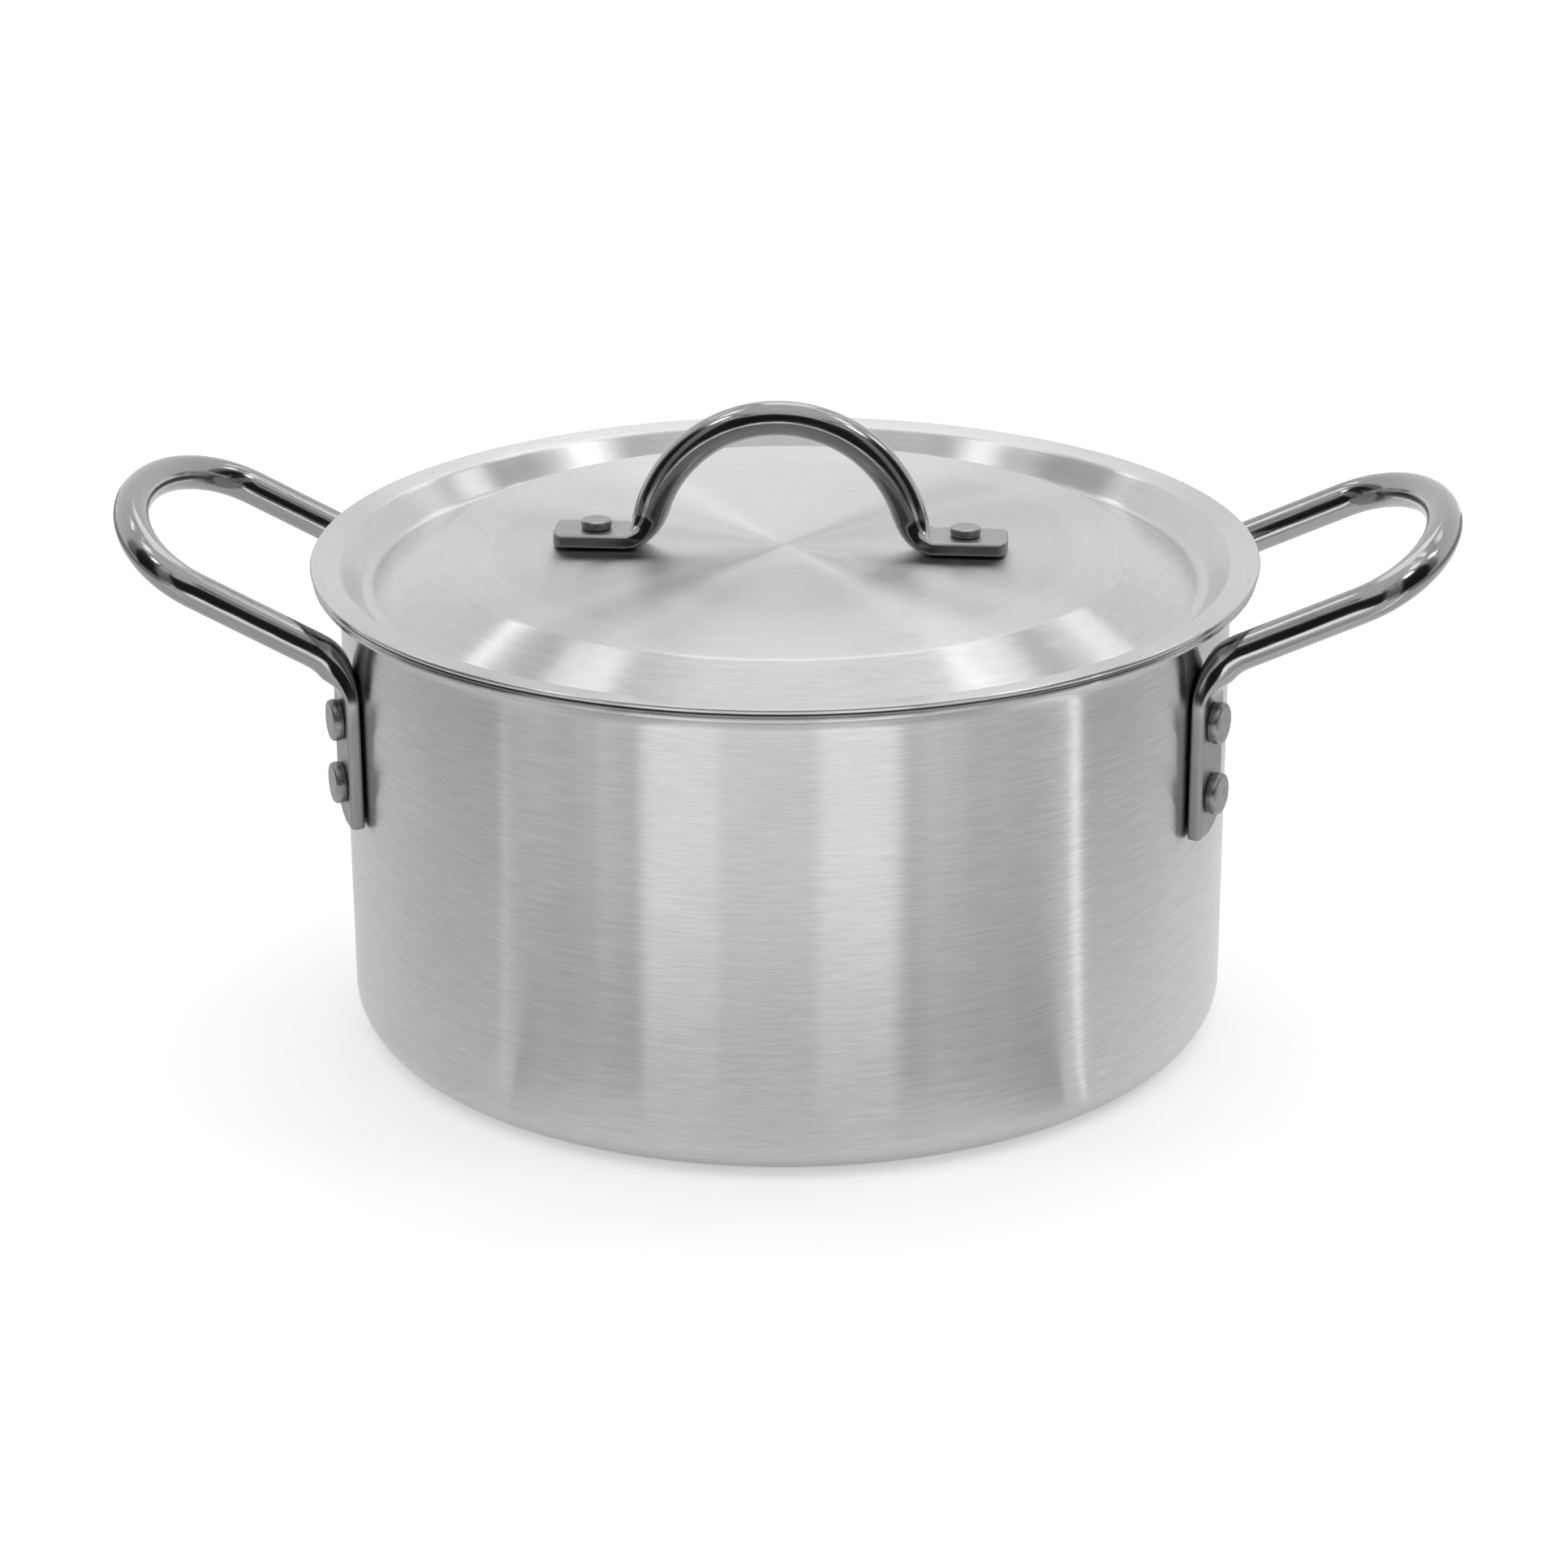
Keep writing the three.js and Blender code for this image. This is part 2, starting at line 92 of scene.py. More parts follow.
# %% Node helpers
def add_node(tree, kind, settings=None, **inputs):
    made = tree.nodes.new(kind)
    for key, value in (settings or {}).items():
        setattr(made, key, value)
    for key, value in inputs.items():
        name = key.replace("_", " ")
        socket = made.inputs[int(key[1:]) if key[0] == "i" and key[1:].isdigit() else name]
        if isinstance(value, bpy.types.NodeSocket):
            tree.links.new(value, socket)
        else:
            socket.default_value = value
    return made


def new_material(name):
    material = bpy.data.materials.new(name)
    material.use_nodes = True
    material.node_tree.nodes.clear()
    return material, material.node_tree


def calc(tree, operation, *values):
    """The result of one step of arithmetic on numbers."""
    inputs = {f"i{k}": value for k, value in enumerate(values)}
    return add_node(tree, "ShaderNodeMath", {"operation": operation}, **inputs).outputs[0]


def vector_calc(tree, operation, *values):
    """The same for vectors, where the result is a vector too."""
    inputs = {f"i{k}": value for k, value in enumerate(values)}
    return add_node(tree, "ShaderNodeVectorMath", {"operation": operation}, **inputs).outputs[0]


def length_of(tree, vector):
    made = add_node(tree, "ShaderNodeVectorMath", {"operation": "LENGTH"}, i0=vector)
    return made.outputs["Value"]


def object_place(tree):
    return add_node(tree, "ShaderNodeTexCoord").outputs["Object"]


def show(tree, shader):
    add_node(tree, "ShaderNodeOutputMaterial", Surface=shader.outputs[0])


# %% [markdown]
# ## Floor and backdrop
# Polished metal shows what is round it, so the studio matters as much as the pot. The
# floor is one wide pale disc and the backdrop a white curved wall behind. Both add a
# little light of their own for the camera and for reflections, which whitens them
# without lighting the pot any harder, and the floor keeps the pot's shadow.

# %% Floor and backdrop
PAPER = (0.9, 0.9, 0.9, 1)
FLOOR_RADIUS = 30.0
FLOOR_DROP = 0.0002
FLOOR_GLOW = 0.35
FLOOR_STEPS = 96
BACKDROP_DISTANCE = 4.0
BACKDROP_HEIGHT = 3.6
BACKDROP_HALF_ANGLE = math.radians(70)
BACKDROP_GLOW = 0.45
BACKDROP_STEPS = 48


def pale_paper(name, glow):
    """Matt paper that also glows, for the camera and for reflections only."""
    material, tree = new_material(name)
    path = add_node(tree, "ShaderNodeLightPath").outputs
    seen = calc(tree, "MAXIMUM", path["Is Camera Ray"], path["Is Glossy Ray"])
    seen = calc(tree, "MAXIMUM", seen, path["Is Transmission Ray"])
    matt = add_node(tree, "ShaderNodeBsdfDiffuse", Color=PAPER)
    light = add_node(tree, "ShaderNodeEmission", Strength=calc(tree, "MULTIPLY", seen, glow))
    show(tree, add_node(tree, "ShaderNodeAddShader", i0=matt.outputs[0], i1=light.outputs[0]))
    return material


def mesh_object(name, vertices, faces, material):
    mesh = bpy.data.meshes.new(name)
    mesh.from_pydata([tuple(v) for v in vertices], [], faces)
    mesh.update()
    made = bpy.data.objects.new(name, mesh)
    bpy.context.scene.collection.objects.link(made)
    made.data.materials.append(material)
    return made


def strip_faces(steps):
    """Faces between two rows of points."""
    return [(i, i + 1, steps + i + 1, steps + i) for i in range(steps - 1)]


def add_floor():
    ring = [
        (FLOOR_RADIUS * math.cos(a), FLOOR_RADIUS * math.sin(a), -FLOOR_DROP)
        for a in np.linspace(0, 2 * math.pi, FLOOR_STEPS, endpoint=False)
    ]
    paper = pale_paper("floor_paper", FLOOR_GLOW)
    floor = mesh_object("floor", ring, [tuple(range(FLOOR_STEPS))], paper)


def add_backdrop():
    sweep = np.linspace(-BACKDROP_HALF_ANGLE, BACKDROP_HALF_ANGLE, BACKDROP_STEPS)
    foot = [(BACKDROP_DISTANCE * math.sin(a), BACKDROP_DISTANCE * math.cos(a)) for a in sweep]
    points = [(x, y, 0) for x, y in foot] + [(x, y, BACKDROP_HEIGHT) for x, y in foot]
    paper = pale_paper("backdrop_paper", BACKDROP_GLOW)
    backdrop = mesh_object("backdrop", points, strip_faces(BACKDROP_STEPS), paper)


add_floor()
add_backdrop()
print("floor and backdrop made")

# %% [markdown]
# ## Studio light
# The room has a pale ceiling and dark walls, made as a world that only depends on how high
# one looks. Softboxes stand round the pot, most of them with the black cloth rim that a
# real one has, and a black curtain hangs behind the camera: in brushed and polished metal
# it is the dark next to the bright that makes the metal read as metal. White cards on the
# floor in front lift the wall, and greyer ones at the sides hold it down. Grey flags, which
# lie on the floor too, do the same for the undersides of the tubes. Rims, curtain, cards
# and flags only show in reflections, and the camera itself sees a white room.

# %% Room light
ROOM_LEVELS = [(-1.0, 0.2), (0.0, 0.22), (0.55, 0.36), (0.72, 0.82), (1.0, 1.0)]
WHITE = (1, 1, 1, 1)


def add_room_light():
    world = bpy.data.worlds.new("room")
    bpy.context.scene.world = world
    world.use_nodes = True
    tree = world.node_tree
    outward = add_node(tree, "ShaderNodeTexCoord").outputs["Generated"]
    height = add_node(tree, "ShaderNodeSeparateXYZ", Vector=outward)
    share = add_node(tree, "ShaderNodeMapRange", Value=height.outputs["Z"], i1=-1.0, i2=1.0)
    ramp = add_node(tree, "ShaderNodeValToRGB", Fac=share.outputs["Result"])
    stops = ramp.color_ramp.elements
    while len(stops) < len(ROOM_LEVELS):
        stops.new(0.5)
    for stop, (level, grey) in zip(stops, ROOM_LEVELS):
        stop.position = (level + 1) / 2
        stop.color = (grey, grey, grey, 1)
    seen = add_node(
        tree, "ShaderNodeMix", {"data_type": "RGBA"},
        Factor=add_node(tree, "ShaderNodeLightPath").outputs["Is Camera Ray"],
        i6=ramp.outputs["Color"], i7=WHITE,
    )
    tree.links.new(seen.outputs[2], tree.nodes["Background"].inputs["Color"])


# %% Curtain, cards and flags
CLOTH = (0.03, 0.03, 0.03, 1)
STRIP_STEPS = 24
CARD_REACH = (0.1, 0.8)
# The cards fade from dim at the wall to bright further out: painted shade for the pot's shadow on
# the floor.
CARD_FADE = (0.12, 0.34)
CARD_FAR_GAIN = 1.55
CARD_PLACE = (0, -0.072, 0.002)
FLAG_PLACE = (0, 0, 0.001)
# name, distance, azimuths, elevations
CLOTHS = [
    ("curtain", 2.2, (-36, 36), (-1, 44)),
    ("left_wing", 2.3, (-95, -60), (-1, 50)),
    ("right_wing", 2.3, (60, 99), (-1, 50)),
]
# name, azimuths, strength, share of it at the foot of the wall, where the dimmer card is painted
# shade for the pot's shadow on the floor
CARDS = [
    ("card_far_left", (-67, -57), 0.62, 0.95),
    ("card_left_mid", (-57, -44), 0.58, 0.95),
    ("card_left_gap", (-44, -33), 0.78, 0.6),
    ("card_left", (-33, -13), 1.32, 0.55),
    ("card_middle", (-13, 13), 1.15, 0.55),
    ("card_right", (13, 34), 1.42, 0.55),
    ("card_right_gap", (34, 44), 0.82, 0.6),
    ("card_right_mid", (44, 51), 0.66, 0.85),
    ("card_far_right", (51, 76), 0.6, 0.9),
    ("card_left_line", (-70.4, -69.8), 1.9, 0.55),
    ("card_right_line", (79.8, 81.0), 3.2, 0.45),
]
# name, azimuths, near and far radius, strength
FLAGS = [
    ("left_flag", (-168, -46), (0.126, 0.58), 0.82),
    ("left_far_flag", (-150, -46), (0.58, 2.3), 0.35),
    ("right_flag", (46, 168), (0.126, 0.24), 0.98),
    ("right_mid_flag", (46, 168), (0.24, 0.58), 0.84),
    ("right_far_flag", (46, 150), (0.58, 2.3), 0.35),
    ("front_flag", (-38, 38), (0.95, 2.3), 0.08),
]


def toward(azimuth, elevation):
    """The direction at an azimuth from the front, to the right, and an elevation."""
    turn, rise = math.radians(azimuth), math.radians(elevation)
    return Vector(
        (math.sin(turn) * math.cos(rise), -math.cos(turn) * math.cos(rise), math.sin(rise))
    )


def black_cloth():
    material, tree = new_material("black_cloth")
    show(tree, add_node(tree, "ShaderNodeBsdfDiffuse", Color=CLOTH))
    return material


def only_in_reflections(card):
    card.visible_camera = False
    card.visible_diffuse = False
    card.visible_shadow = False


def strip_card(name, rows, material, place=(0, 0, 0)):
    """A card between two rows of points."""
    card = mesh_object(name, rows[0] + rows[1], strip_faces(STRIP_STEPS), material)
    card.location = place
    only_in_reflections(card)


def curved_card(name, distance, azimuths, elevations, material):
    """A card bent round the pot, from one azimuth and elevation to another."""
    sweep = np.linspace(*azimuths, STRIP_STEPS)
    strip_card(name, [[toward(az, el) * distance for az in sweep] for el in elevations], material)


def floor_sector(name, azimuths, reach, place, material):
    sweep = np.linspace(*azimuths, STRIP_STEPS)
    strip_card(name, [[toward(az, 0) * r for az in sweep] for r in reach], material, place)


def floor_card(name, azimuths, glow, foot):
    """A wedge of card on the floor in front of the wall, brighter the further out it lies. Its
    dim part near the wall is painted shade, standing for the pot's shadow on the floor as the
    metal sees it.
    """
    material, tree = new_material(name)
    light = add_node(
        tree, "ShaderNodeMapRange", Value=length_of(tree, object_place(tree)),
        i1=CARD_FADE[0], i2=CARD_FADE[1], i3=foot * glow, i4=CARD_FAR_GAIN * glow,
    )
    show(tree, add_node(tree, "ShaderNodeEmission", Strength=light.outputs["Result"]))
    floor_sector(name, azimuths, CARD_REACH, CARD_PLACE, material)


def floor_flag(name, azimuths, reach, shade):
    """A sector of one even grey on the floor, just under the cards."""
    material, tree = new_material(name)
    show(tree, add_node(tree, "ShaderNodeEmission", Strength=shade))
    floor_sector(name, azimuths, reach, FLAG_PLACE, material)


# %% Softboxes
SOFTBOX_DISTANCE = 2.6
RIM_BEHIND = 0.02
# name, azimuth, elevation, width and height in degrees, brightness, rim in degrees
SOFTBOXES = [
    ("left_key", -71, 54, 9, 12, 4.2, 3),
    ("right_key", 79, 54, 11, 12, 4.6, 3),
    ("right_fill", 116, 40, 6, 12, 4.4, 2),
    ("back_left_high", -140, 57, 16, 3, 1.7, 1),
    ("back_left_low", -140, 44.5, 16, 3.5, 3.4, 1),
    ("back_right_top", 150, 63, 16, 2.5, 2.6, 1),
    ("back_right_high", 148, 55, 16, 3, 3.2, 1),
    ("back_right_low", 149, 40.5, 16, 7, 2.0, 1),
    ("left_front", -44, 50, 14, 8, 1.2, 3),
    ("right_front", 40, 50, 12, 8, 0.95, 3),
    ("left_back", -112, 61, 12, 10, 1.7, 0),
    ("right_back", 111, 61, 12, 10, 1.7, 0),
    ("back_fill", 180, 50, 20, 34, 1.0, 0),
]


def flat_card(name, place, across, along, material):
    x, y = across / 2, along / 2
    corners = [(-x, -y, 0), (x, -y, 0), (x, y, 0), (-x, y, 0)]
    card = mesh_object(name, corners, [(0, 1, 2, 3)], material)
    card.matrix_world = place
    only_in_reflections(card)


def seen_size(degrees):
    """What fills an angle, seen from the pot, at a softbox's distance."""
    return 2 * SOFTBOX_DISTANCE * math.tan(math.radians(degrees / 2))


def add_softbox(name, azimuth, elevation, width, height, brightness, rim, cloth):
    direction = toward(azimuth, elevation)
    facing = direction.to_track_quat("Z", "Y").to_matrix().to_4x4()
    across, along = seen_size(width), seen_size(height)
    data = bpy.data.lights.new(name, "AREA")
    data.shape = "RECTANGLE"
    data.size = across
    data.size_y = along
    data.energy = brightness * math.pi * across * along
    box = bpy.data.objects.new(name, data)
    box.matrix_world = Matrix.Translation(direction * SOFTBOX_DISTANCE) @ facing
    box.visible_camera = False
    bpy.context.scene.collection.objects.link(box)
    if rim:
        edge = seen_size(2 * rim)
        place = Matrix.Translation(direction * (SOFTBOX_DISTANCE + RIM_BEHIND)) @ facing
        flat_card(name + "_rim", place, across + edge, along + edge, cloth)


def add_studio():
    cloth = black_cloth()
    for curtain in CLOTHS:
        curved_card(*curtain, cloth)
    for card in CARDS:
        floor_card(*card)
    for flag in FLAGS:
        floor_flag(*flag)
    for box in SOFTBOXES:
        add_softbox(*box, cloth)


add_room_light()
add_studio()
bpy.context.scene.view_settings.view_transform = "Standard"
print("lights", len(SOFTBOXES), "cards and flags", len(CARDS) + len(FLAGS))

# %% [markdown]
# ## Turned surfaces
# The pot and the lid are spun on a lathe, so each is a profile swept round the axis.
# Blender's Screw modifier would do that too. Here the profile is swept in code, because
# the same code then also knows each corner's fillet and the sheet's even thickness.

# %% Profiles of arcs and straights
ARC_STEP = math.radians(6)
TURNS = 288
PROFILE_STEP = 0.004


def arc_points(centre, radius, start, sweep, step=ARC_STEP):
    steps = max(2, math.ceil(abs(sweep) / step))
    angles = [start + sweep * i / steps for i in range(steps + 1)]
    return [centre + radius * np.array([math.cos(a), math.sin(a)]) for a in angles]


def rounded_path(corners, step=ARC_STEP):
    """A polyline through (x, y, fillet) corners with arcs in place of filleted ones."""
    path = []
    for i, (x, y, fillet) in enumerate(corners):
        corner = np.array([x, y])
        if not fillet:
            path.append(corner)
            continue
        before = np.array(corners[i - 1][:2]) - corner
        after = np.array(corners[i + 1][:2]) - corner
        before /= np.linalg.norm(before)
        after /= np.linalg.norm(after)
        half = math.acos(float(before @ after)) / 2
        inward = before + after
        centre = corner + inward / np.linalg.norm(inward) * fillet / math.sin(half)
        start = corner + before * fillet / math.tan(half) - centre
        cross = before[0] * after[1] - before[1] * after[0]
        sweep = -math.copysign(math.pi - 2 * half, cross)
        path += arc_points(centre, fillet, math.atan2(start[1], start[0]), sweep, step)
    return path


def offset_path(path, distance):
    """The path moved sideways, to the right of its direction of travel."""
    moved = []
    for i, point in enumerate(path):
        into = path[max(i, 1)] - path[max(i, 1) - 1]
        out = path[min(i, len(path) - 2) + 1] - path[min(i, len(path) - 2)]
        into = into / np.linalg.norm(into)
        out = out / np.linalg.norm(out)
        right = np.array([into[1] + out[1], -into[0] - out[0]])
        right /= np.linalg.norm(right)
        stretch = right[0] * into[1] - right[1] * into[0]
        moved.append(point + right * distance / stretch)
    return moved


# %% Sweep round the axis
def divide(path, step):
    """The same path with points added, so that no stretch is longer than step."""
    fine = [path[0]]
    for start, end in zip(path, path[1:]):
        count = max(1, math.ceil(np.linalg.norm(end - start) / step))
        fine += [start + (end - start) * (k + 1) / count for k in range(count)]
    return fine


def turned_mesh(name, profile, material, turns=TURNS):
    """Sweeps a profile that starts and ends on the axis, and closes it at both ends."""
    inner = profile[1:-1]
    angles = np.linspace(0, 2 * math.pi, turns, endpoint=False)
    points = [(0, 0, profile[0][1]), (0, 0, profile[-1][1])]
    points += [(r * math.cos(a), r * math.sin(a), z) for r, z in inner for a in angles]
    faces = []

    def ring(k, j):
        return 2 + k * turns + j % turns

    for j in range(turns):
        faces.append((0, ring(0, j + 1), ring(0, j)))
        faces.append((1, ring(len(inner) - 1, j), ring(len(inner) - 1, j + 1)))
        for k in range(len(inner) - 1):
            faces.append((ring(k, j), ring(k, j + 1), ring(k + 1, j + 1), ring(k + 1, j)))
    return mesh_object(name, points, faces, material)


def smooth(piece, sharp=40):
    """Smooth shading, with an edge kept wherever faces meet at more than sharp degrees."""
    piece.data.polygons.foreach_set("use_smooth", [True] * len(piece.data.polygons))
    piece.data.set_sharp_from_angle(angle=math.radians(sharp))
    bm = bmesh.new()
    bm.from_mesh(piece.data)
    bmesh.ops.recalc_face_normals(bm, faces=bm.faces)
    bm.to_mesh(piece.data)
    bm.free()
    return piece


def sheet_profile(corners, thickness, edge):
    """Closed profile of a sheet, from the corners of its upper face, with a round edge."""
    upper = divide(rounded_path(corners), PROFILE_STEP)
    travel = upper[-1] - upper[-2]
    travel /= np.linalg.norm(travel)
    right = np.array([travel[1], -travel[0]])
    tip = upper.pop()
    upper.append(tip - travel * edge)
    lower = offset_path(upper, thickness)
    turn = math.atan2(right[1], right[0])
    low_arc = arc_points(lower[-1] - right * edge, edge, turn, math.pi / 2)
    high_arc = arc_points(upper[-1] + right * edge, edge, turn + math.pi / 2, math.pi / 2)
    return lower[:-1] + low_arc + high_arc + upper[-2::-1]


# %% [markdown]
# ## Spun aluminium
# A sheet spun on a lathe and rubbed with abrasive keeps thousands of fine rings round its
# axis. They spread a reflection across themselves, so a highlight on the wall is a tall
# stripe and on the lid a fan. The shader does this with an anisotropic highlight turned a
# quarter from the ring direction, and the ring lines themselves come from noise that is
# stretched along the turn: its coordinates are the direction round the axis, and the radius
# and height added together, so no seam shows anywhere.

# %% Ring lines
# Each set of rings: how fast the noise changes per radian of turn and per metre of profile.
FINE_RINGS = (14.0, 2100.0)
HAIR_RINGS = (60.0, 4200.0)
BROAD_RINGS = (5.0, 700.0)
BROAD_SHARE = 0.35
HAIR_SHARE = 0.5
CLOUD_SCALE = 14.0
CLOUD_SPREAD = 0.02
BROAD_SPREAD = 0.012
PANEL_EDGE = 0.004


def scaled(tree, vector, factor):
    made = add_node(tree, "ShaderNodeVectorMath", {"operation": "SCALE"}, i0=vector, Scale=factor)
    return made.outputs[0]


def ring_vector(tree, around, across):
    """Coordinates that change slowly round the Z axis and fast along the profile."""
    place = object_place(tree)
    flat = vector_calc(tree, "MULTIPLY", place, (1, 1, 0))
    height = add_node(tree, "ShaderNodeSeparateXYZ", Vector=place).outputs["Z"]
    along = calc(tree, "MULTIPLY", calc(tree, "ADD", length_of(tree, flat), height), across)
    lift = add_node(tree, "ShaderNodeCombineXYZ", Z=along).outputs[0]
    turn = scaled(tree, vector_calc(tree, "NORMALIZE", flat), around)
    return vector_calc(tree, "ADD", turn, lift)


def noise_value(tree, vector, scale=1.0, detail=3.0, rough=0.6):
    made = add_node(
        tree, "ShaderNodeTexNoise", Vector=vector, Scale=scale, Detail=detail, Roughness=rough
    )
    return made.outputs["Fac"]


def spread(tree, value, low, high):
    """Maps noise, which stays near its middle, onto the range from low to high."""
    made = add_node(tree, "ShaderNodeMapRange", Value=value, i1=0.25, i2=0.75, i3=low, i4=high)
    return made.outputs["Result"]


def bare_metal(tree, tint, roughness, heights, relief, **more):
    """A metal surface. relief is the depth in metres that a height of 1 stands for."""
    bump = add_node(tree, "ShaderNodeBump", Strength=1.0, Distance=relief, Height=heights)
    show(tree, add_node(
        tree, "ShaderNodeBsdfPrincipled", Base_Color=tint, Metallic=1.0,
        Roughness=roughness, Normal=bump.outputs[0], **more,
    ))


def spun_metal(name, colour, roughness, relief, tone, panel=(0.0, 0.0)):
    """Brushed sheet. tone is how far the rings' colour varies, and panel a radius inside
    which the sheet was rubbed harder, with the roughness that this adds."""
    material, tree = new_material(name)
    fine = noise_value(tree, ring_vector(tree, *FINE_RINGS), detail=3.0, rough=0.7)
    hair = noise_value(tree, ring_vector(tree, *HAIR_RINGS), detail=1.0)
    broad = noise_value(tree, ring_vector(tree, *BROAD_RINGS), detail=2.0)
    place = object_place(tree)
    cloud = noise_value(tree, place, scale=CLOUD_SCALE, detail=4.0)
    shade = add_node(
        tree, "ShaderNodeMix", {"data_type": "FLOAT"}, Factor=BROAD_SHARE,
        i2=spread(tree, fine, 1 - tone, 1 + tone), i3=spread(tree, broad, 1 - tone, 1 + tone),
    )
    rough = calc(
        tree, "ADD", spread(tree, cloud, -CLOUD_SPREAD, CLOUD_SPREAD),
        spread(tree, broad, roughness - BROAD_SPREAD, roughness + BROAD_SPREAD),
    )
    rubbed = add_node(
        tree, "ShaderNodeMapRange", Value=length_of(tree, place),
        i1=panel[0], i2=panel[0] + PANEL_EDGE, i3=panel[1], i4=0.0,
    )
    rings = add_node(tree, "ShaderNodeTangent", {"direction_type": "RADIAL", "axis": "Z"})
    bare_metal(
        tree, scaled(tree, colour, shade.outputs[0]),
        calc(tree, "ADD", rough, rubbed.outputs["Result"]),
        calc(tree, "MULTIPLY_ADD", hair, HAIR_SHARE, fine), relief,
        Anisotropic=1.0, Anisotropic_Rotation=0.25, Tangent=rings.outputs[0],
    )
    return material


pot_metal = spun_metal(
    "spun_pot_sheet", (0.56, 0.56, 0.568), roughness=0.25, relief=0.000001, tone=0.15
)
lid_metal = spun_metal(
    "spun_lid_sheet", (0.6, 0.6, 0.605), roughness=0.26, relief=0.0000015, tone=0.09,
    panel=(0.078, 0.08),
)
print("sheet finishes made")

# %% [markdown]
# ## Pot body
# One sheet of even thickness: flat base, rounded corner, straight wall, and a rim that
# flares out on a small radius into a nearly flat lip. The lip's radius and the height come
# from the frame's box, whose rounded edge ends a little inside the full corner, and the
# sheet, corner and flare are the CAD part's own values.

# %% Pot body
POT_SHEET = 0.0022
RIM_OVERHANG = 0.007
RIM_ANGLE = math.radians(6)
RIM_FLARE = 0.007
POT_CORNER = 0.0078
EDGE_ROUND = 0.42
LIP_SHORT = 0.00015
LIP_LOW = 0.0001
pot_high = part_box("pot_body")[1]
wall_radius = pot_high.x - LIP_SHORT - RIM_OVERHANG
pot_height = pot_high.z + LIP_LOW


def add_pot_body():
    inside = wall_radius - POT_SHEET
    outer = wall_radius + RIM_OVERHANG
    wall_top = pot_height - (outer - inside) * math.tan(RIM_ANGLE)
    corners = [
        (0, POT_SHEET, 0),
        (inside, POT_SHEET, POT_CORNER),
        (inside, wall_top, RIM_FLARE),
        (outer, pot_height, 0),
    ]
    profile = sheet_profile(corners, POT_SHEET, POT_SHEET * EDGE_ROUND)
    body = smooth(turned_mesh("pot_sheet", profile, pot_metal))
    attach(body, "pot")
    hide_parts("pot_body")
    print("pot sheet", len(body.data.vertices), "points, wall radius", round(wall_radius, 5))


add_pot_body()

# %% [markdown]
# ## Lid
# The lid is pressed from a thinner sheet: a flat panel, a cone that falls away to a gutter,
# and a steep flange that climbs out of the pot's mouth and turns over onto the rim. It is
# swept round its own axis like the pot and then laid in the rim a tenth of a degree out of
# level. It also lies turned by a degree, which only its handle and rivets show. The flange
# is worked out from the pot's flare, so the two can't touch.

# %% Lid profile
SEAT_GAP = 0.0003
LID_SHEET = 0.0013
LID_OVERHANG = 0.0006
LID_PANEL_RISE = 0.0009
LID_PANEL_FILLET = 0.0035
LID_CONE_WIDTH = 0.0198
LID_GUTTER_DEPTH = 0.0091
LID_GUTTER_FILLET = 0.0032
LID_FLANGE = math.radians(48.6)
LID_SHOULDER_FILLET = 0.0026
FLANGE_CLEARANCE = 0.0009
LID_TILT = math.radians(0.1)
LID_TURN = math.radians(-1)

lid_radius = wall_radius + RIM_OVERHANG + LID_OVERHANG
lid_edge = (
    pot_height + SEAT_GAP + lid_radius * math.sin(LID_TILT)
    + LID_SHEET / math.cos(RIM_ANGLE) + LID_OVERHANG * math.tan(RIM_ANGLE)
)
lid_level = Matrix.Translation((0, 0, lid_edge))
lid_tilt = Matrix.Rotation(LID_TILT, 4, "Y")
lid_place = lid_level @ Matrix.Rotation(LID_TURN, 4, "Z") @ lid_tilt


def lid_corners():
    """Corners of the lid's upper face, with z = 0 at its outer edge."""
    inside = wall_radius - POT_SHEET
    wall_top = pot_height - (wall_radius + RIM_OVERHANG - inside) * math.tan(RIM_ANGLE)
    flare_z = wall_top - RIM_FLARE * math.tan((math.pi / 2 - RIM_ANGLE) / 2) - lid_edge
    reach = RIM_FLARE + FLANGE_CLEARANCE + LID_SHEET

    def flange_x(z):
        rise = (z - flare_z) * math.cos(LID_FLANGE) - reach
        return inside + RIM_FLARE + rise / math.sin(LID_FLANGE)

    rate = math.tan(RIM_ANGLE) / math.tan(LID_FLANGE)
    shoulder = (flange_x(0) - lid_radius * rate) / (1 - rate)
    gutter = flange_x(-LID_GUTTER_DEPTH)
    return [
        (0, LID_PANEL_RISE, 0),
        (gutter - LID_CONE_WIDTH, LID_PANEL_RISE, LID_PANEL_FILLET),
        (gutter, -LID_GUTTER_DEPTH, LID_GUTTER_FILLET),
        (shoulder, (shoulder - lid_radius) * math.tan(RIM_ANGLE), LID_SHOULDER_FILLET),
        (lid_radius, 0, 0),
    ]


# %% Lid cover
def add_lid_cover():
    profile = sheet_profile(lid_corners(), LID_SHEET, LID_SHEET * EDGE_ROUND)
    cover = smooth(turned_mesh("lid_sheet", profile, lid_metal))
    cover.matrix_world = lid_level @ lid_tilt
    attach(cover, "lid")
    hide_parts("lid_cover")
    print("lid sheet", len(cover.data.vertices), "points, edge at", round(lid_edge, 5))


add_lid_cover()

# %% [markdown]
# ## Tube pressed flat at its ends
# Each handle is one steel tube, bent and then pressed flat where it is riveted on. Its
# outline is swept along the route and changes on the way from a circle to a flat bar with
# tight edges. A press closes the inner side of the bend quickly, which leaves a crease
# there, and the outer side slowly. A bevelled curve keeps one outline all along, so the
# skin is made ring by ring instead.

# %% Outline of a pressed tube
STRAP_WIDTH = 0.0155
STRAP_THICKNESS = 0.0038
STRAP_EDGE = 0.0011
QUARTER_STEPS = 18
CORNER_STEPS = 25
END_ROUND = 0.0005


